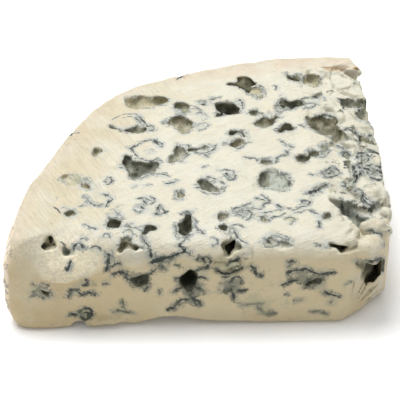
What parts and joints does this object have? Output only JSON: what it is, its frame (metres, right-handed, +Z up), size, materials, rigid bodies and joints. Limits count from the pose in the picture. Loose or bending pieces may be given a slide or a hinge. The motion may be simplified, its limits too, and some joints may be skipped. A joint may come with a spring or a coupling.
{
  "type": "blue cheese wedge",
  "caption": "Wedge of crumbly blue-veined cheese, cut flat on top and on two sides, with a curved natural rind, open cavities and a broken tip.",
  "frame": {"origin": "centre of the bounding box in plan, on the flat base that the wedge rests on", "axes": "+Z up through the thickness; the front cut faces -Y, the right cut faces +X, and the tip where the two cuts meet is at +X -Y"},
  "size_m": [0.1112, 0.1106, 0.0285],
  "materials": {
    "cheese_paste": null
  },
  "bodies": {
    "root": {"cheese_wedge": "cheese_paste"}
  },
  "joints": []
}
